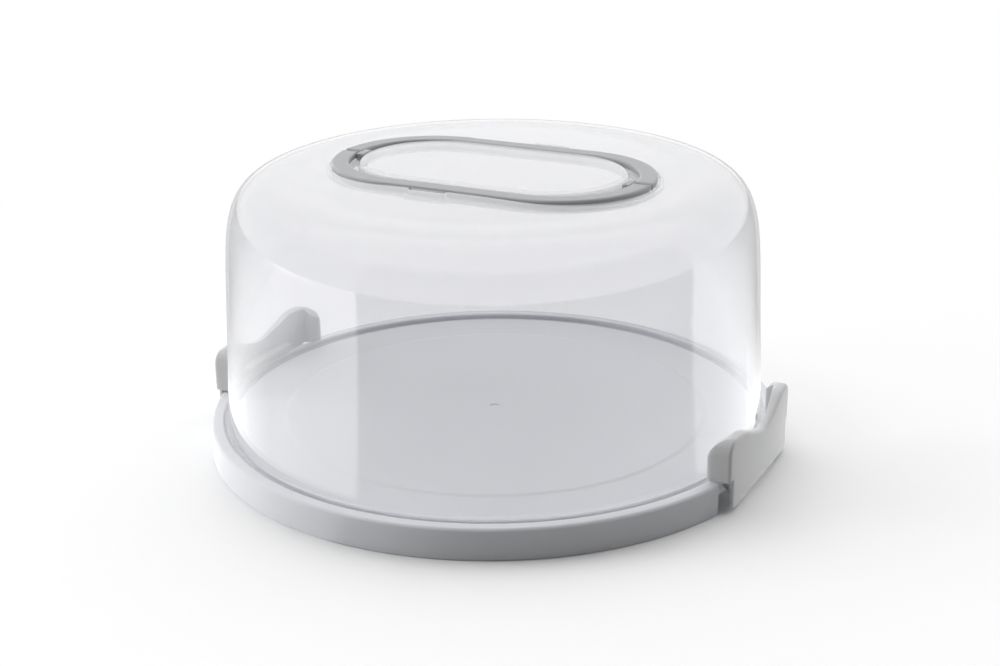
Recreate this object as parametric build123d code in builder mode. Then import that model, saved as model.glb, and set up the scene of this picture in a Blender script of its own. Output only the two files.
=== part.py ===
"""Round cake carrier: a flat tray, a translucent dome that lifts off it, two side latches that hold the
dome down, and a carrying handle of two half rings that fold flat around a raised island on the dome.

Millimetres. The origin is under the middle of the tray, on the surface it stands on. +Z is up and +X runs
through the right-hand latch and along the folded handle.
"""

import os
from math import cos, hypot, radians, sin

from build123d import *

# ---- Tray ----
TRAY_R = 165.0
RIM_TOP = 18.0
DECK_TOP = 16.2
PLATFORM_R = 121.0
PLATFORM_TOP = 16.7
PLATFORM_SLOPE = 3.0
CHANNEL_IN = 152.4
CHANNEL_OUT = 157.9
CHANNEL_FLOOR = 14.6
SKIRT_WALL = 2.2
TRAY_WALL = 2.0
GATE_R = 3.2
GATE_DEPTH = 0.4
RIB_WALL = 1.6
RIB_BOTTOM = 10.5
RIB_COUNT = 12
RIB_RINGS = (50.0, 100.0)
FOOT_RING_R = 150.0
FOOT_RING_WALL = 2.6

# ---- Dome ----
DOME_WALL = 1.8
DOME_FOOT_Z = 14.9
DOME_FOOT_R = 154.9
DOME_LEAN = 0.041
SHOULDER_Z = 92.0
SHOULDER_POWER = 4.6
CROWN_R = 100.0
CROWN_EDGE = 159.6
CROWN_TOP = 162.4
FLANGE_R = 157.0
FLANGE_BOTTOM = 18.3
FLANGE_TOP = 20.6

# ---- Handle: two half rings lying in a moat around the island ----
RING_LENGTH = 191.0
RING_WIDTH = 109.0
BAND_SIDE = 10.0
BAND_END = 10.0
RING_THICK = 4.0
RING_ROUND = 1.2
MOAT_GAP = 1.5
MOAT_FLOOR = 157.8
ISLAND_LENGTH = 159.6
ISLAND_WIDTH = 86.8
ISLAND_TOP = 163.0
ISLAND_ROUND = 4.0
RING_LIFT = 0.4
HINGE_OFFSET = 2.7
TAB_LENGTH = 22.0
TAB_REACH = 3.0
TAB_THICK = 1.8
TAB_CENTRE = -11.0
TAB_TAPER = 1.5
TAB_RISE = 1.2
TAB_ROUND = 2.0
POCKET_GAP = 1.5
BAIL_PIN_R = 1.1
PIN_END = 0.8
KNUCKLE_INSET = 0.15
BLOCK_GAP = 0.7
BLOCK_DEPTH = 4.2
BLOCK_WIDTH = 10.8
BLOCK_TOP = 162.0
STEM_R = 1.5
STEM_HEAD_R = 2.3
STEM_HEAD_DEPTH = 2.2

# ---- Latches ----
LATCH_FACE = 165.8
LATCH_CURVE = 380.0
LATCH_WALL = 2.2
LATCH_HALF = 50.0
LATCH_FOOT_HALF = 46.5
LATCH_TOP = 41.8
LATCH_DIP = 33.0
LATCH_STEP = 18.6
LATCH_CORNER = 8.0
DIP_HALF = 37.0
DIP_SHOULDER = (23.0, LATCH_TOP - 3.0)
DIP_FLOOR = (9.0, LATCH_DIP + 1.3)
LATCH_GRIP_R = 161.4
FOOT_END_Z = 1.5
FOOT_ARCH_Z = 4.6
FOOT_FLAT = 40.0
FOOT_CORNER = 9.0
FACE_ROUND = 1.8
CHEEK_R = 157.3
CHEEK_WALL = 8.0
CHEEK_X = 149.0
CHEEK_ROUND = 12.0
HOOK_R = 155.7
HOOK_HALF = 24.0
HOOK_BOTTOM = 21.0
HOOK_TOP = 23.6
NOTCH_ANGLE = 18.2
LATCH_AXIS_X = 160.0
LATCH_AXIS_Z = 3.6
LATCH_PIN_R = 1.1
LATCH_PIN_LENGTH = 75.0
PIN_CHAMFER = 0.3
BOSS_R = 2.2
LUG_CENTRE = 30.0
LUG_REACH = 6.0
LUG_WIDTH = 4.0
WEB_CENTRE = 34.5
WEB_WIDTH = 3.0
RUNNING_GAP = 0.05

# ---- Small details ----
EDGE_ROUND = 0.6
CORNER_ROUND = 0.8
MERGE = 0.4
SNAP_GAP = 0.1
SNAP_TAPER = 12

# ---- Values that follow from those above ----
CHANNEL_WALL_R = CHANNEL_OUT + TRAY_WALL
RING_BOTTOM = MOAT_FLOOR + RING_LIFT
RING_TOP = RING_BOTTOM + RING_THICK
HINGE_Z = (RING_BOTTOM + RING_TOP) / 2
RING_INNER_LENGTH = RING_LENGTH - 2 * BAND_END
RING_INNER_WIDTH = RING_WIDTH - 2 * BAND_SIDE
MOAT_LENGTH = RING_LENGTH + 2 * MOAT_GAP
MOAT_WIDTH = RING_WIDTH + 2 * MOAT_GAP
UNDER_MOAT = MOAT_FLOOR - DOME_WALL
BLOCK_INNER_X = ISLAND_LENGTH / 2 + BLOCK_GAP
BLOCK_X = BLOCK_INNER_X + BLOCK_DEPTH / 2
SIDES = (1, -1)


def on_y(y):
    """An X-Z plane whose sketch is centred at the given Y."""
    return Plane.XZ.offset(-y)


# ---------------------------------------------------------------- tray
def tray_section():
    """Half section of the tray: platform, deck, channel for the dome, rim and skirt."""
    points = [
        (0, PLATFORM_TOP),
        (PLATFORM_R, PLATFORM_TOP),
        (PLATFORM_R + PLATFORM_SLOPE, DECK_TOP),
        (CHANNEL_IN, DECK_TOP),
        (CHANNEL_IN, CHANNEL_FLOOR),
        (CHANNEL_OUT, CHANNEL_FLOOR),
        (CHANNEL_OUT, RIM_TOP),
        (TRAY_R, RIM_TOP),
        (TRAY_R, 0),
        (TRAY_R - SKIRT_WALL, 0),
        (TRAY_R - SKIRT_WALL, RIM_TOP - SKIRT_WALL),
        (CHANNEL_WALL_R, RIM_TOP - SKIRT_WALL),
        (CHANNEL_WALL_R, CHANNEL_FLOOR - TRAY_WALL),
        (CHANNEL_IN - TRAY_WALL, CHANNEL_FLOOR - TRAY_WALL),
        (CHANNEL_IN - TRAY_WALL, DECK_TOP - TRAY_WALL),
        (0, DECK_TOP - TRAY_WALL),
    ]
    rounds = [4.0, 4.0, 0.7, 0.5, 0.5, 0.9, 1.7, 0.8, 0.5, 0.5, 0.4, 0.5, 0.5, 0.4]
    with BuildSketch(Plane.YZ) as section:
        with BuildLine():
            FilletPolyline(*points, radius=rounds)
            Line(points[-1], points[0])
        make_face()
    return section.sketch


def latch_lug_section():
    """Round-ended lug that hangs from the channel and carries a latch pin."""
    with BuildSketch() as lug:
        with BuildLine():
            Polyline(
                (CHANNEL_IN - LUG_REACH, CHANNEL_FLOOR - TRAY_WALL + MERGE),
                (CHANNEL_WALL_R - MERGE, CHANNEL_FLOOR - TRAY_WALL + MERGE),
                (LATCH_AXIS_X + BOSS_R, LATCH_AXIS_Z),
                (LATCH_AXIS_X - BOSS_R, LATCH_AXIS_Z),
                close=True,
            )
        make_face()
        with Locations((LATCH_AXIS_X, LATCH_AXIS_Z)):
            Circle(BOSS_R)
            Circle(LATCH_PIN_R, mode=Mode.SUBTRACT)
    return lug.sketch


with BuildPart() as base_tray:
    add(tray_section())
    revolve(axis=Axis.Z)
    with BuildSketch(Plane.XY.offset(PLATFORM_TOP)):
        Circle(GATE_R)
    extrude(amount=-GATE_DEPTH, mode=Mode.SUBTRACT)

    # Stiffening ribs under the deck, and the ring that the tray stands on with its skirt
    with BuildSketch(Plane.XY.offset(RIB_BOTTOM)):
        for ring in RIB_RINGS:
            Circle(ring + RIB_WALL / 2)
            Circle(ring - RIB_WALL / 2, mode=Mode.SUBTRACT)
        with PolarLocations((RIB_RINGS[0] + FOOT_RING_R) / 2, RIB_COUNT):
            Rectangle(FOOT_RING_R - RIB_RINGS[0], RIB_WALL)
    extrude(amount=DECK_TOP - TRAY_WALL - RIB_BOTTOM + MERGE)
    with BuildSketch():
        Circle(FOOT_RING_R + FOOT_RING_WALL / 2)
        Circle(FOOT_RING_R - FOOT_RING_WALL / 2, mode=Mode.SUBTRACT)
    extrude(amount=CHANNEL_FLOOR - TRAY_WALL + MERGE)

    # A notch in the rim for each latch, which leaves the channel's outer wall standing
    with BuildSketch(Plane.XY.offset(-MERGE)):
        for side in SIDES:
            reach = 2 * side * TRAY_R * cos(radians(NOTCH_ANGLE))
            half = 2 * TRAY_R * sin(radians(NOTCH_ANGLE))
            with BuildLine():
                Polyline((0, 0), (reach, half), (reach, -half), close=True)
            make_face()
        Circle(CHANNEL_WALL_R, mode=Mode.SUBTRACT)
    extrude(amount=RIM_TOP + 2 * MERGE, mode=Mode.SUBTRACT)

    # Two lugs in each notch
    for side in SIDES:
        for y in (-LUG_CENTRE, LUG_CENTRE):
            lug_plane = Plane(origin=(0, y, 0), x_dir=(side, 0, 0), z_dir=(0, -side, 0))
            with BuildSketch(lug_plane):
                add(latch_lug_section())
            extrude(amount=LUG_WIDTH / 2, both=True)


# ---------------------------------------------------------------- dome
def wall_radius(z):
    """Outer radius of the dome's wall, which leans in from its foot to its shoulder."""
    return DOME_FOOT_R - (z - FLANGE_TOP) * DOME_LEAN


def shoulder_points(inset):
    """Points up the dome's shoulder, drawn the given depth inside its skin: a squared-off ellipse that
    runs on from the leaning wall."""
    rise = CROWN_EDGE - SHOULDER_Z - inset
    power = 2 / SHOULDER_POWER
    points = []
    for angle in (6, 17, 30, 45, 60, 74, 84):
        turn = radians(angle)
        z = SHOULDER_Z + rise * sin(turn) ** power
        reach = wall_radius(z) - CROWN_R - inset
        points.append((CROWN_R + reach * cos(turn) ** power, z))
    return points


def dome_body(inset, foot):
    """Solid of the dome's skin drawn the given depth inside it, from its foot to its gently crowned top."""
    with BuildPart() as body:
        with BuildSketch(Plane.XZ):
            with BuildLine():
                wall = Line(
                    (wall_radius(foot) - inset, foot), (wall_radius(SHOULDER_Z) - inset, SHOULDER_Z)
                )
                crown_edge = (CROWN_R, CROWN_EDGE - inset)
                crown = TangentArc((0, CROWN_TOP - inset), crown_edge, tangent=(1, 0))
                Spline(
                    wall @ 1, *shoulder_points(inset), crown_edge, tangents=[wall % 1, (crown % 1) * -1]
                )
                Polyline((0, CROWN_TOP - inset), (0, foot), wall @ 0)
            make_face()
        revolve(axis=Axis.Z)
    return body.part


def prism(length, width, bottom, top):
    """Upright block with half-round ends."""
    with BuildPart() as block:
        with BuildSketch(Plane.XY.offset(bottom)):
            SlotOverall(length, width)
        extrude(amount=top - bottom)
    return block.part


def tab_outline(grow):
    """Plan of the finger tab on the front half ring, grown all round by the given gap."""
    with BuildSketch() as tab:
        with BuildLine():
            inner_y = -RING_WIDTH / 2 + 2
            outer_y = -RING_WIDTH / 2 - TAB_REACH - grow
            half = TAB_LENGTH / 2 + grow
            FilletPolyline(
                (TAB_CENTRE - half, inner_y),
                (TAB_CENTRE - half + TAB_TAPER, outer_y),
                (TAB_CENTRE + half - TAB_TAPER, outer_y),
                (TAB_CENTRE + half, inner_y),
                radius=TAB_ROUND,
            )
            Line((TAB_CENTRE + half, inner_y), (TAB_CENTRE - half, inner_y))
        make_face()
    return tab.sketch


skin = dome_body(0, DOME_FOOT_Z)
cavity = dome_body(DOME_WALL, DOME_FOOT_Z - 3)
moat_block = prism(MOAT_LENGTH, MOAT_WIDTH, MOAT_FLOOR, ISLAND_TOP)
island_block = prism(ISLAND_LENGTH, ISLAND_WIDTH, UNDER_MOAT, ISLAND_TOP)
moat_shell = prism(MOAT_LENGTH + 2 * DOME_WALL, MOAT_WIDTH + 2 * DOME_WALL, UNDER_MOAT, ISLAND_TOP)
under_island = prism(
    ISLAND_LENGTH - 2 * DOME_WALL,
    ISLAND_WIDTH - 2 * DOME_WALL,
    UNDER_MOAT - DOME_WALL,
    ISLAND_TOP - DOME_WALL,
)

with BuildPart() as island:
    add(island_block)
    fillet(island.edges().group_by(Axis.Z)[-1], radius=ISLAND_ROUND)

with BuildPart() as hollow:
    add(cavity)
    add(moat_shell, mode=Mode.SUBTRACT)
    for turn in (0, 180):
        with BuildSketch(Plane.XY.offset(UNDER_MOAT)):
            add(tab_outline(POCKET_GAP + DOME_WALL).rotate(Axis.Z, turn))
        extrude(amount=ISLAND_TOP - MOAT_FLOOR, mode=Mode.SUBTRACT)
    add(under_island)

with BuildPart() as dome_lid:
    add(skin)
    with BuildSketch(Plane.XY.offset(FLANGE_BOTTOM)):
        Circle(FLANGE_R)
    extrude(amount=FLANGE_TOP - FLANGE_BOTTOM)
    fillet(dome_lid.edges().filter_by(GeomType.CIRCLE).sort_by(SortBy.RADIUS)[-2:], radius=EDGE_ROUND)
    add(moat_block, mode=Mode.SUBTRACT)
    for turn in (0, 180):
        with BuildSketch(Plane.XY.offset(MOAT_FLOOR)):
            add(tab_outline(POCKET_GAP).rotate(Axis.Z, turn))
        extrude(amount=ISLAND_TOP - MOAT_FLOOR, mode=Mode.SUBTRACT)
    add(island.part)
    add(hollow.part, mode=Mode.SUBTRACT)
    # Holes for the pivot blocks' stems
    with BuildSketch(Plane.XY.offset(MOAT_FLOOR)):
        with Locations((BLOCK_X, 0), (-BLOCK_X, 0)):
            Circle(STEM_R)
    extrude(amount=-2 * DOME_WALL, mode=Mode.SUBTRACT)


# ---------------------------------------------------------------- handle
def half_ring(turn):
    """One half of the carrying handle: a flat bail with a finger tab and a rounded knuckle at each end.
    Both halves are the same moulding, one turned half round."""
    with BuildPart() as bail:
        with BuildSketch(Plane.XY.offset(RING_BOTTOM)):
            SlotOverall(RING_LENGTH, RING_WIDTH)
            SlotOverall(RING_INNER_LENGTH, RING_INNER_WIDTH, mode=Mode.SUBTRACT)
            with Locations((0, RING_WIDTH / 2 - HINGE_OFFSET)):
                Rectangle(RING_LENGTH, RING_WIDTH, mode=Mode.SUBTRACT)
        extrude(amount=RING_THICK)
        long_edges = bail.edges().filter_by(GeomType.LINE).filter_by(Axis.X)
        arc_edges = bail.edges().filter_by(GeomType.CIRCLE)
        fillet(long_edges + arc_edges, radius=RING_ROUND)
        with BuildSketch(Plane.XY.offset(RING_BOTTOM + TAB_RISE)):
            add(tab_outline(0))
        extrude(amount=TAB_THICK)
        for side in SIDES:
            knuckle_end = Plane.YZ.offset(side * (RING_LENGTH / 2 - KNUCKLE_INSET))
            with BuildSketch(knuckle_end):
                with Locations((-HINGE_OFFSET, HINGE_Z)):
                    Circle(RING_THICK / 2)
            extrude(amount=-side * (BAND_END - 2 * KNUCKLE_INSET))
            with BuildSketch(Plane.YZ.offset(side * BLOCK_X)):
                with Locations((-HINGE_OFFSET, HINGE_Z)):
                    Circle(BAIL_PIN_R + RUNNING_GAP)
            extrude(amount=side * (RING_LENGTH / 2 - PIN_END / 2 - BLOCK_X), mode=Mode.SUBTRACT)
    return bail.part.rotate(Axis.Z, turn)


def bail_pins(turn):
    """The two steel pins that one half ring turns on."""
    with BuildPart() as pins:
        for side in SIDES:
            with BuildSketch(Plane.YZ.offset(side * BLOCK_INNER_X)):
                with Locations((-HINGE_OFFSET, HINGE_Z)):
                    Circle(BAIL_PIN_R)
            extrude(amount=side * (RING_LENGTH / 2 - PIN_END - BLOCK_INNER_X))
    return pins.part.rotate(Axis.Z, turn)


def pivot_block(side):
    """Block that stands in one end of the moat, carries both half rings and snaps through the dome."""
    with BuildPart() as block:
        with BuildSketch(Plane.XY.offset(MOAT_FLOOR)):
            with Locations((side * BLOCK_X, 0)):
                RectangleRounded(BLOCK_DEPTH, BLOCK_WIDTH, CORNER_ROUND)
        extrude(amount=BLOCK_TOP - MOAT_FLOOR)
        fillet(block.edges().group_by(Axis.Z)[-1], radius=EDGE_ROUND)
        with BuildSketch(Plane.YZ.offset(side * BLOCK_X)):
            with Locations((-HINGE_OFFSET, HINGE_Z), (HINGE_OFFSET, HINGE_Z)):
                Circle(BAIL_PIN_R)
        extrude(amount=BLOCK_DEPTH, both=True, mode=Mode.SUBTRACT)
        with BuildSketch(Plane.XY.offset(MOAT_FLOOR)):
            with Locations((side * BLOCK_X, 0)):
                Circle(STEM_R)
        extrude(amount=-DOME_WALL - SNAP_GAP)
        with BuildSketch(Plane.XY.offset(UNDER_MOAT - SNAP_GAP)):
            with Locations((side * BLOCK_X, 0)):
                Circle(STEM_HEAD_R)
        extrude(amount=-STEM_HEAD_DEPTH, taper=SNAP_TAPER)
    return block.part


# ---------------------------------------------------------------- latches
def latch_plan(half_width, inner_centre, inner_radius):
    """Plan of a latch wall between its gently curved face and a round inner side."""
    with BuildSketch() as plan:
        with Locations((LATCH_FACE - LATCH_CURVE, 0)):
            Circle(LATCH_CURVE)
        with Locations((LATCH_FACE, 0)):
            Rectangle(2 * LATCH_HALF, 2 * half_width, mode=Mode.INTERSECT)
        with Locations((inner_centre, 0)):
            Circle(inner_radius, mode=Mode.SUBTRACT)
    return plan.sketch


def latch_front():
    """Front outline of a latch: raised corners with a finger dip between them, and an arched foot."""
    right = [
        (FOOT_FLAT, FOOT_END_Z),
        (LATCH_HALF, FOOT_END_Z),
        (LATCH_HALF, LATCH_TOP),
        (DIP_HALF, LATCH_TOP),
    ]
    corners = [FOOT_CORNER, LATCH_CORNER]
    dip = [right[-1], DIP_SHOULDER, DIP_FLOOR]
    with BuildSketch() as front:
        with BuildLine():
            FilletPolyline(*right, radius=corners)
            Spline(
                *dip,
                (0, LATCH_DIP),
                *[(-y, z) for y, z in reversed(dip)],
                tangents=[(-1, 0), (-1, 0)],
            )
            FilletPolyline(*[(-y, z) for y, z in reversed(right)], radius=corners[::-1])
            ThreePointArc((-FOOT_FLAT, FOOT_END_Z), (0, FOOT_ARCH_Z), right[0])
        make_face()
    return front.sketch


def on_face(edge):
    """Whether an edge lies on the latch's curved outer face."""
    middle = edge @ 0.5
    return abs(hypot(middle.X - LATCH_FACE + LATCH_CURVE, middle.Y) - LATCH_CURVE) < RUNNING_GAP


def latch_shell():
    """Grip wall with its two cheeks above the rim, and the narrower wall that fills the notch."""
    with BuildSketch() as finger_slot:
        Circle(LATCH_GRIP_R)
        Rectangle(2 * TRAY_R, 2 * (LATCH_HALF - CHEEK_WALL), mode=Mode.INTERSECT)

    with BuildPart() as shell:
        with BuildSketch(Plane.XY.offset(LATCH_STEP)):
            add(latch_plan(LATCH_HALF, 0, CHEEK_R))
            add(finger_slot.sketch, mode=Mode.SUBTRACT)
        extrude(amount=LATCH_TOP - LATCH_STEP)
        with BuildSketch():
            add(latch_plan(LATCH_FOOT_HALF, LATCH_FACE - LATCH_CURVE, LATCH_CURVE - LATCH_WALL))
        extrude(amount=LATCH_STEP)
        with BuildSketch(Plane.YZ):
            add(latch_front())
        extrude(amount=2 * TRAY_R, mode=Mode.INTERSECT)
        # The cheeks' upper corners are rounded where they meet the dome
        beyond = 2 * TRAY_R
        with BuildSketch(Plane.XZ):
            with BuildLine():
                outline = FilletPolyline(
                    (CHEEK_X, 0), (CHEEK_X, LATCH_TOP), (beyond, LATCH_TOP), radius=CHEEK_ROUND
                )
                Polyline(outline @ 1, (beyond, 0), (CHEEK_X, 0))
            make_face()
        extrude(amount=TRAY_R, both=True, mode=Mode.INTERSECT)
        fillet(shell.edges().filter_by(on_face), radius=FACE_ROUND)
    return shell.part


def latch(turn):
    """One side latch, shaped for +X and turned into place: its shell, the hook over the dome's flange,
    and two webs that ride on the latch pin."""
    with BuildPart() as body:
        add(latch_shell())
        with BuildSketch(Plane.XY.offset(HOOK_BOTTOM)):
            Circle(LATCH_GRIP_R + 1)
            Circle(HOOK_R, mode=Mode.SUBTRACT)
            with Locations((LATCH_GRIP_R, 0)):
                Rectangle(LATCH_GRIP_R, 2 * HOOK_HALF, mode=Mode.INTERSECT)
        extrude(amount=HOOK_TOP - HOOK_BOTTOM)
        for y in (-WEB_CENTRE, WEB_CENTRE):
            with BuildSketch(on_y(y)):
                with BuildLine():
                    Polyline(
                        (LATCH_AXIS_X + BOSS_R, LATCH_AXIS_Z),
                        (LATCH_FACE - LATCH_WALL, LATCH_AXIS_Z + BOSS_R),
                        (LATCH_FACE - LATCH_WALL, LATCH_STEP - 1),
                        (LATCH_AXIS_X - BOSS_R, LATCH_AXIS_Z),
                        close=True,
                    )
                make_face()
                with Locations((LATCH_AXIS_X, LATCH_AXIS_Z)):
                    Circle(BOSS_R)
                    Circle(LATCH_PIN_R + RUNNING_GAP, mode=Mode.SUBTRACT)
            extrude(amount=WEB_WIDTH / 2, both=True)
    return body.part.rotate(Axis.Z, turn)


def latch_pin(side):
    """Steel pin that a latch turns on, held by the two lugs in its notch."""
    with BuildPart() as pin:
        with BuildSketch(Plane.XZ):
            with Locations((side * LATCH_AXIS_X, LATCH_AXIS_Z)):
                Circle(LATCH_PIN_R)
        extrude(amount=LATCH_PIN_LENGTH / 2, both=True)
        chamfer(pin.edges().filter_by(GeomType.CIRCLE), length=PIN_CHAMFER)
    return pin.part


PARTS = {
    "base_tray": base_tray.part,
    "dome_lid": dome_lid.part,
    "handle_half_front": half_ring(0),
    "handle_half_rear": half_ring(180),
    "handle_pins_front": bail_pins(0),
    "handle_pins_rear": bail_pins(180),
    "pivot_block_right": pivot_block(1),
    "pivot_block_left": pivot_block(-1),
    "latch_right": latch(0),
    "latch_left": latch(180),
    "latch_pin_right": latch_pin(1),
    "latch_pin_left": latch_pin(-1),
}
os.makedirs("parts", exist_ok=True)
for name, piece in PARTS.items():
    piece.label = name
    export_step(piece, f"parts/{name}.step")
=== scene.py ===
"""Looks of the round cake carrier: a clear dome over a satin grey tray, with grey latches and handle
and steel pins, in a white studio.

Metres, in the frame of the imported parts: +Z is up and +X runs through the right-hand latch. Edges and
turns are in degrees round the object from the camera's azimuth, to the right as the camera sees it.
Levels, fills and glares are radiances, where 1 is white.
"""

from math import cos, pi, radians, sin

import bpy
from mathutils import Matrix, Vector

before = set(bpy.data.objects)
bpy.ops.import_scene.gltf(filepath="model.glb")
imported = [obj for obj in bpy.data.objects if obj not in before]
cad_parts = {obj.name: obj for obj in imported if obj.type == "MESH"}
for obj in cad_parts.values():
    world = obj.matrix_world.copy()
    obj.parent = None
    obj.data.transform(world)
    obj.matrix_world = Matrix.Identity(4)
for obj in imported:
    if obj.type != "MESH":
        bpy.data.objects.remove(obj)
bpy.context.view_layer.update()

WHITE = (1.0, 1.0, 1.0, 1.0)

# ---- Camera, where the photograph was taken from ----
CAMERA_PLACE = Vector((0.4324, -0.8786, 0.4235))
CAMERA_TARGET = Vector((0.00315, 0.00153, 0.0623))
CAMERA_ROLL = -0.0107
CAMERA_LENS = 64.8
SENSOR_WIDTH = 36.0
NEAREST = 0.05
FARTHEST = 50.0
CAMERA_AZIMUTH = 26.0

# ---- Borders between the pale and dark sides of the studio: turns, and where they start ----
FAR_LEFT_EDGE = -51.9
LEFT_EDGE = -28.7
RIGHT_EDGE = 45.3
DOME_R = 0.155
FLOOR_BLUR = 0.004
WORLD_BLUR = 0.02

# ---- Floor: how much light it returns, by distance from the object's middle ----
FLOOR_SIZE = 12.0
FLOOR_Z = 0.0
FLOOR_SEEN = 0.97
WHITE_START = 0.17
WHITE_FULL = 0.65
FLOOR_WHITE = 0.65
FLOOR_DARK = 0.15
DARK_START = 0.20
DARK_FULL = 0.45

# ---- Floor: its level in mirrors, by the cosine of the angle from straight behind the object ----
LEFT_GLARE = 1.6
SIDE_GLARE = 1.3
BACK_GLARE = 0.0
SIDE_GLARE_COS = 0.1
BACK_GLARE_COS = 0.6

# ---- World: the light it gives, brightest behind the object and FILL_TILT degrees up ----
FRONT_FILL = 0.12
BACK_FILL = 1.75
FILL_TILT = 12.0
FRONT_FILL_COS = -0.1
BACK_FILL_COS = 0.4

# ---- World: its level in mirrors ----
FRONT_LEVEL = 1.2
LEFT_LEVEL = 1.6
SIDE_LEVEL = 1.7
BACK_LEVEL = 1.15
SIDE_LEVEL_COS = 0.35
BACK_LEVEL_COS = 0.93
CEILING_LEVEL = 1.9
CEILING_START = 0.5
CEILING_FULL = 0.75

# ---- Soft box on the left ----
BOX_SIZE = 1.4
BOX_REACH = 3.6
BOX_TURN = -90.0
BOX_LEVEL = 11.5

# ---- Noises (scale, detail, roughness) and the range that nearly all of a noise lies in ----
FLOW = (14.0, 3.0, 0.55)
SPECKLE = (900.0, 2.0, 0.6)
GRAIN = (1500.0, 3.0, 0.65)
WAVES = (40.0, 1.0, 0.4)
CLOUDS = (9.0, 3.0, 0.5)
SWELL = (30.0, 1.0, 0.4)
SMEARS = (120.0, 2.0, 0.5)
DRAW_LINES = (700.0, 2.0, 0.5)
NOISE_LOW = 0.3
NOISE_HIGH = 0.7

# ---- Bumps (strength, distance) ----
GRAIN_BUMP = (0.5, 0.00003)
WAVES_BUMP = (0.15, 0.0004)
SWELL_BUMP = (0.1, 0.0002)
LINES_BUMP = (0.2, 0.00005)

# ---- Moulded plastic, and the light that soaks into it ----
PLASTIC_IOR = 1.49
FLOW_GLOSS = 0.04
SPECKLE_GLOSS = 0.03
PLASTIC_GLOW = 0.5
GLOW_RADIUS = (1.0, 1.0, 1.0)
GLOW_DEPTH = 0.005
TRAY_PALE = (0.69, 0.70, 0.73)
TRAY_DARK = (0.67, 0.68, 0.71)
TRAY_ROUGH = 0.42
RING_PALE = (0.36, 0.363, 0.373)
RING_DARK = (0.345, 0.348, 0.36)
RING_ROUGH = 0.45
LATCH_PALE = (0.57, 0.573, 0.58)
LATCH_DARK = (0.55, 0.553, 0.56)
LATCH_ROUGH = 0.45

# ---- Dome: what passes through a wall to the eye and to the light, its haze, the painted highlight on its moat walls, and its gloss ----
VIEW_PASSES = (0.93, 0.93, 0.938, 1.0)
LIGHT_PASSES = (0.985, 0.985, 0.985, 1.0)
HAZE_AND_HIGHLIGHT_COLOUR = (0.9, 0.91, 0.93, 1.0)
DOME_MILK = 0.045
MILK_UNEVEN = 0.15
LEAST_SLANT = 0.35
MOAT_Z = 0.1572
# The upright walls of the moat and island are painted nearly white: a painted highlight for their edges
# catching the light.
WALL_HIGHLIGHT = 0.9
WALL_SLOPE = 0.4
FLAT_SLOPE = 0.8
CHALK_SHARE = 0.5
FACING_GLOSS = 0.04
GLOSS_POWER = 5.0
DOME_SMOOTH = 0.03
DOME_DULL = 0.07

# ---- Steel wire ----
STEEL_PALE = (0.66, 0.66, 0.67, 1.0)
STEEL_DARK = (0.50, 0.50, 0.52, 1.0)
STEEL_SMOOTH = 0.22
STEEL_DULL = 0.36


def heading(azimuth):
    """The level unit vector at an azimuth in degrees, 0 towards -Y and 90 towards +X."""
    return Vector((sin(radians(azimuth)), -cos(radians(azimuth)), 0.0))


BACKWARDS = heading(CAMERA_AZIMUTH + 180)


class Shader:
    """A material's or world's node tree, built by short calls. Most of them return a socket."""

    def __init__(self, owner):
        owner.use_nodes = True
        self.tree = owner.node_tree
        self.tree.nodes.clear()

    def add(self, kind, inputs=None, **settings):
        """Adds a node. inputs maps a socket's name or number to its value or to the socket feeding it."""
        node = self.tree.nodes.new("ShaderNode" + kind)
        for name, value in settings.items():
            setattr(node, name, value)
        for name, value in (inputs or {}).items():
            if isinstance(value, bpy.types.NodeSocket):
                self.tree.links.new(value, node.inputs[name])
            else:
                node.inputs[name].default_value = value
        return node

    def math(self, operation, *values):
        return self.add("Math", dict(enumerate(values)), operation=operation).outputs[0]

    def dot(self, first, second):
        node = self.add("VectorMath", {0: first, 1: second}, operation="DOT_PRODUCT")
        return node.outputs["Value"]

    def height(self, vector):
        return self.add("SeparateXYZ", {0: vector}).outputs["Z"]

    def noise(self, kind, place):
        scale, detail, roughness = kind
        inputs = {"Scale": scale, "Detail": detail, "Roughness": roughness, "Vector": place}
        return self.add("TexNoise", inputs).outputs[0]

    def spread(self, value, low, high, start=0.0, stop=1.0):
        """value, held between start and stop, mapped to run from low to high."""
        return self.add("MapRange", {0: value, 1: start, 2: stop, 3: low, 4: high}).outputs[0]

    def vary(self, noise, low, high):
        return self.spread(noise, low, high, NOISE_LOW, NOISE_HIGH)

    def mix(self, factor, first, second):
        return self.add("Mix", {0: factor, 2: first, 3: second}).outputs[0]

    def blend(self, factor, first, second):
        """The mix of two colours."""
        return self.add("Mix", {0: factor, 6: first, 7: second}, data_type="RGBA").outputs[2]

    def layer(self, factor, first, second):
        """The mix of two shaders."""
        return self.add("MixShader", {0: factor, 1: first, 2: second}).outputs[0]

    def bump(self, size, height, **inputs):
        strength, distance = size
        inputs = {"Strength": strength, "Distance": distance, "Height": height, **inputs}
        return self.add("Bump", inputs).outputs[0]

    def place(self):
        return self.add("TexCoord").outputs["Object"]

    def surface(self, socket):
        self.add("OutputMaterial", {0: socket})


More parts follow.
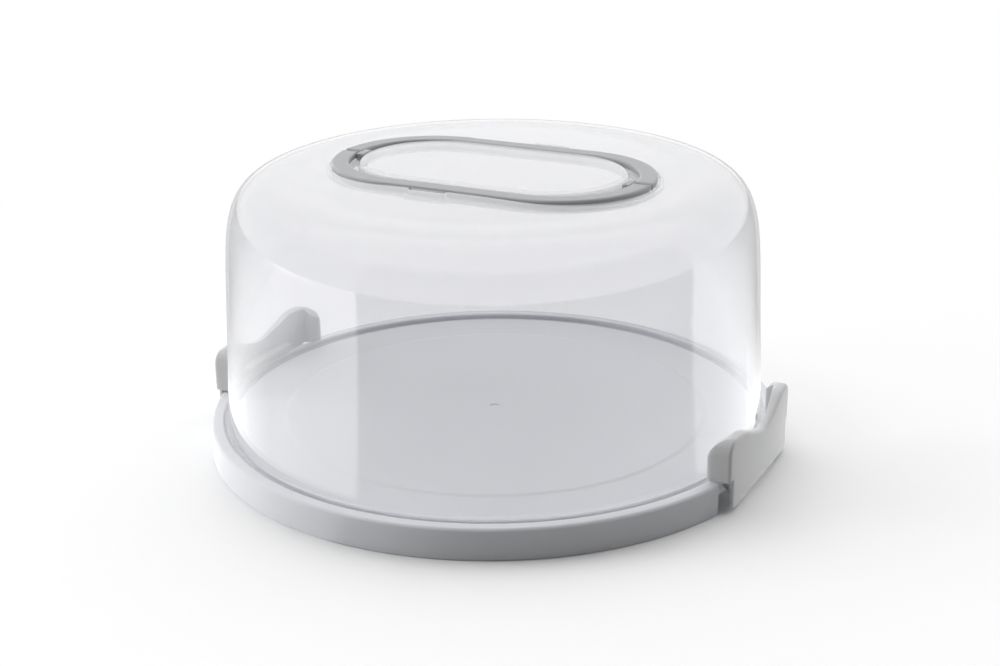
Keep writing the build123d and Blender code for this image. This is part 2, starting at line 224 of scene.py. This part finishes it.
def moulded_plastic(name, pale, dark, roughness):
    """Satin moulded plastic: a spark-eroded grain, faint flow marks and a slightly uneven gloss."""
    material = bpy.data.materials.new(name)
    shader = Shader(material)
    place = shader.place()
    flow = shader.noise(FLOW, place)
    speckle = shader.noise(SPECKLE, place)
    tint = shader.blend(shader.vary(flow, 0.0, 1.0), (*dark, 1.0), (*pale, 1.0))
    rough = shader.math(
        "ADD",
        shader.vary(flow, roughness - FLOW_GLOSS, roughness + FLOW_GLOSS),
        shader.vary(speckle, -SPECKLE_GLOSS, SPECKLE_GLOSS),
    )
    waves = shader.bump(WAVES_BUMP, shader.noise(WAVES, place))
    grain = shader.bump(GRAIN_BUMP, shader.noise(GRAIN, place), Normal=waves)
    body = shader.add("BsdfPrincipled", {"Base Color": tint, "Roughness": rough, "Normal": grain})
    body.inputs["IOR"].default_value = PLASTIC_IOR
    body.inputs["Subsurface Weight"].default_value = PLASTIC_GLOW
    body.inputs["Subsurface Radius"].default_value = GLOW_RADIUS
    body.inputs["Subsurface Scale"].default_value = GLOW_DEPTH
    shader.surface(body.outputs[0])
    return material


def dome_plastic(name):
    """Clear moulded plastic with a trace of white haze, which thickens where it is looked through at a
    slant. The upright faces above MOAT_Z, round the handle and its island, are painted nearly white, a
    painted highlight for their edges catching the light. Light that falls on other pieces passes the dome
    without the haze or the painted highlight."""
    material = bpy.data.materials.new(name)
    shader = Shader(material)
    place = shader.place()
    facing = shader.add("LayerWeight", {"Blend": 0.5}).outputs["Facing"]
    reflect = shader.math(
        "MULTIPLY_ADD", shader.math("POWER", facing, GLOSS_POWER), 1.0 - FACING_GLOSS, FACING_GLOSS
    )
    thin = DOME_MILK * (1.0 - MILK_UNEVEN)
    thick = DOME_MILK * (1.0 + MILK_UNEVEN)
    slant = shader.math("MAXIMUM", shader.math("SUBTRACT", 1.0, facing), LEAST_SLANT)
    haze = shader.math("DIVIDE", shader.vary(shader.noise(CLOUDS, place), thin, thick), slant)
    slope = shader.math("ABSOLUTE", shader.height(shader.add("NewGeometry").outputs["Normal"]))
    # Upright faces above MOAT_Z are painted nearly white, a painted highlight for their edges catching
    # the light.
    upright_highlight = shader.spread(slope, WALL_HIGHLIGHT, 0.0, WALL_SLOPE, FLAT_SLOPE)
    wall_highlight = shader.math("MULTIPLY", upright_highlight, shader.math("GREATER_THAN", shader.height(place), MOAT_Z))
    path = shader.add("LightPath")
    lighting = shader.math("MAXIMUM", path.outputs["Is Shadow Ray"], path.outputs["Is Diffuse Ray"])
    seen = shader.math("SUBTRACT", 1.0, lighting)
    # The white share is the haze, plus the painted highlight on the moat walls. Shadow and diffuse rays
    # pass without either.
    haze_and_highlight = shader.math("MULTIPLY", shader.math("MAXIMUM", haze, wall_highlight), seen)
    clear = shader.add("BsdfTransparent", {"Color": shader.blend(seen, LIGHT_PASSES, VIEW_PASSES)})
    glowing = shader.add("BsdfTranslucent", {"Color": HAZE_AND_HIGHLIGHT_COLOUR})
    chalky = shader.add("BsdfDiffuse", {"Color": HAZE_AND_HIGHLIGHT_COLOUR})
    white = shader.layer(CHALK_SHARE, glowing.outputs[0], chalky.outputs[0])
    body = shader.layer(haze_and_highlight, clear.outputs[0], white)
    swell = shader.bump(SWELL_BUMP, shader.noise(SWELL, place))
    rough = shader.vary(shader.noise(SMEARS, place), DOME_SMOOTH, DOME_DULL)
    gloss = shader.add("BsdfGlossy", {"Color": WHITE, "Roughness": rough, "Normal": swell})
    shader.surface(shader.layer(reflect, body, gloss.outputs[0]))
    return material


def drawn_steel(name):
    """Bright drawn wire with fine marks."""
    material = bpy.data.materials.new(name)
    shader = Shader(material)
    lines = shader.noise(DRAW_LINES, shader.place())
    rough = shader.vary(lines, STEEL_SMOOTH, STEEL_DULL)
    tint = shader.blend(lines, STEEL_DARK, STEEL_PALE)
    marks = shader.bump(LINES_BUMP, lines)
    body = shader.add("BsdfPrincipled", {"Base Color": tint, "Roughness": rough, "Normal": marks})
    body.inputs["Metallic"].default_value = 1.0
    shader.surface(body.outputs[0])
    return material


def paint(material, nodes):
    """Gives each named CAD node that material."""
    for name in nodes:
        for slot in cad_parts[name].material_slots:
            slot.material = material


def beyond(shader, place, edge, side, start_r, blur):
    """1 past a border of the studio, 0 before it. The dome mirrors the border as a vertical line at edge.
    side is 1 for what lies to the right of the border and -1 for what lies to its left."""
    start = heading(CAMERA_AZIMUTH + edge) * start_r
    normal = heading(CAMERA_AZIMUTH + 2 * edge + side * 90)
    past = shader.math("SUBTRACT", shader.dot(place, normal), start.dot(normal))
    return shader.spread(past, 0.0, 1.0, -blur, blur)


def surround(shader, place, start_r, blur):
    """Two shares from 0 to 1, at a place on the floor or in a direction of the world: left of the dark
    side, which lies behind the camera, and on the white side, which runs from the left round the back to
    the right."""
    left = beyond(shader, place, LEFT_EDGE, -1, start_r, blur)
    far_left = beyond(shader, place, FAR_LEFT_EDGE, -1, start_r, blur)
    right = beyond(shader, place, RIGHT_EDGE, 1, start_r, blur)
    white = shader.math("MULTIPLY", far_left, shader.math("MAXIMUM", left, right))
    return left, white


def studio_floor():
    """A floor that keeps the object's shadow and turns to plain white away from it. Mirrors see its pale
    and dark sides. On the dark side it returns little light, except close to the object."""
    mesh = bpy.data.meshes.new("studio_floor")
    half = FLOOR_SIZE / 2
    corners = [(x * half, y * half, FLOOR_Z) for x, y in ((-1, -1), (1, -1), (1, 1), (-1, 1))]
    mesh.from_pydata(corners, [], [(0, 1, 2, 3)])
    floor = bpy.data.objects.new("studio_floor", mesh)
    bpy.context.scene.collection.objects.link(floor)
    material = bpy.data.materials.new("floor_white")
    shader = Shader(material)
    place = shader.place()
    path = shader.add("LightPath")
    seen = path.outputs["Is Camera Ray"]
    left, white = surround(shader, place, DOME_R, FLOOR_BLUR)
    distance = shader.add("VectorMath", {0: place}, operation="LENGTH").outputs["Value"]
    front = shader.spread(distance, FLOOR_WHITE, FLOOR_DARK, DARK_START, DARK_FULL)
    returned = shader.mix(shader.math("MAXIMUM", left, white), front, FLOOR_WHITE)
    far = shader.spread(distance, 0.0, 1.0, WHITE_START, WHITE_FULL)
    shown = shader.spread(far, FLOOR_SEEN, 0.0)
    matte = shader.add("BsdfDiffuse", {"Color": shader.mix(seen, returned, shown)})
    outward = shader.add("VectorMath", {0: place}, operation="NORMALIZE").outputs["Vector"]
    back = shader.dot(outward, BACKWARDS)
    bright = shader.spread(back, SIDE_GLARE, BACK_GLARE, SIDE_GLARE_COS, BACK_GLARE_COS)
    glare = shader.mix(white, shader.math("MULTIPLY", left, LEFT_GLARE), bright)
    mirrored = shader.math("MULTIPLY", path.outputs["Is Glossy Ray"], glare)
    strength = shader.math("ADD", shader.math("MULTIPLY", seen, far), mirrored)
    glow = shader.add("Emission", {"Color": WHITE, "Strength": strength})
    shader.surface(shader.add("AddShader", {0: matte.outputs[0], 1: glow.outputs[0]}).outputs[0])
    mesh.materials.append(material)


def soft_box(name, turn, level):
    """A square lamp of an even radiance of about level, standing on the floor and facing the object.
    Neither the camera nor mirrors see it."""
    lamp = bpy.data.lights.new(name, "AREA")
    lamp.shape = "SQUARE"
    lamp.size = BOX_SIZE
    lamp.energy = level * BOX_SIZE * BOX_SIZE * pi
    box = bpy.data.objects.new(name, lamp)
    box.location = heading(CAMERA_AZIMUTH + turn) * BOX_REACH + Vector((0, 0, BOX_SIZE / 2))
    box.rotation_euler = (-box.location).to_track_quat("-Z", "Y").to_euler()
    box.visible_glossy = False
    box.visible_camera = False
    bpy.context.scene.collection.objects.link(box)


def studio_world():
    """White to the camera. It lights the object from behind, and mirrors see its pale and dark sides."""
    world = bpy.data.worlds.new("studio")
    bpy.context.scene.world = world
    shader = Shader(world)
    direction = shader.add("TexCoord").outputs["Generated"]
    path = shader.add("LightPath")
    left, white = surround(shader, direction, 0.0, WORLD_BLUR)
    pale = shader.spread(left, FRONT_LEVEL, LEFT_LEVEL)
    back = shader.dot(direction, BACKWARDS)
    bright = shader.spread(back, SIDE_LEVEL, BACK_LEVEL, SIDE_LEVEL_COS, BACK_LEVEL_COS)
    heights = {0: shader.height(direction), 1: CEILING_START, 2: CEILING_FULL}
    up = shader.add("MapRange", heights, interpolation_type="SMOOTHSTEP").outputs[0]
    mirrored = shader.mix(up, shader.mix(white, pale, bright), CEILING_LEVEL)
    tilt = radians(FILL_TILT)
    brightest = BACKWARDS * cos(tilt) + Vector((0, 0, sin(tilt)))
    behind = shader.dot(direction, brightest)
    fill = shader.spread(behind, FRONT_FILL, BACK_FILL, FRONT_FILL_COS, BACK_FILL_COS)
    room = shader.mix(path.outputs["Is Glossy Ray"], fill, mirrored)
    level = shader.mix(path.outputs["Is Camera Ray"], room, 1.0)
    background = shader.add("Background", {"Color": WHITE, "Strength": level})
    shader.add("OutputWorld", {0: background.outputs[0]})


def camera():
    data = bpy.data.cameras.new("camera")
    data.sensor_fit = "HORIZONTAL"
    data.sensor_width = SENSOR_WIDTH
    data.lens = CAMERA_LENS
    data.clip_start = NEAREST
    data.clip_end = FARTHEST
    view = bpy.data.objects.new("camera", data)
    aim = (CAMERA_TARGET - CAMERA_PLACE).to_track_quat("-Z", "Y").to_matrix().to_4x4()
    view.matrix_world = Matrix.Translation(CAMERA_PLACE) @ aim @ Matrix.Rotation(CAMERA_ROLL, 4, "Z")
    bpy.context.scene.collection.objects.link(view)
    bpy.context.scene.camera = view


camera()
bpy.context.scene.view_settings.view_transform = "Standard"
studio_world()
studio_floor()
soft_box("left_box", BOX_TURN, BOX_LEVEL)

paint(moulded_plastic("tray_plastic", TRAY_PALE, TRAY_DARK, TRAY_ROUGH), ["base_tray"])
paint(
    moulded_plastic("ring_plastic", RING_PALE, RING_DARK, RING_ROUGH),
    ["handle_half_front", "handle_half_rear", "pivot_block_right", "pivot_block_left"],
)
paint(
    moulded_plastic("latch_plastic", LATCH_PALE, LATCH_DARK, LATCH_ROUGH),
    ["latch_right", "latch_left"],
)
paint(dome_plastic("dome_plastic"), ["dome_lid"])
paint(
    drawn_steel("pin_steel"),
    ["handle_pins_front", "handle_pins_rear", "latch_pin_right", "latch_pin_left"],
)

# The photograph shows no reflection of the latches on the dome.
for name in ("latch_right", "latch_left"):
    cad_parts[name].visible_glossy = False
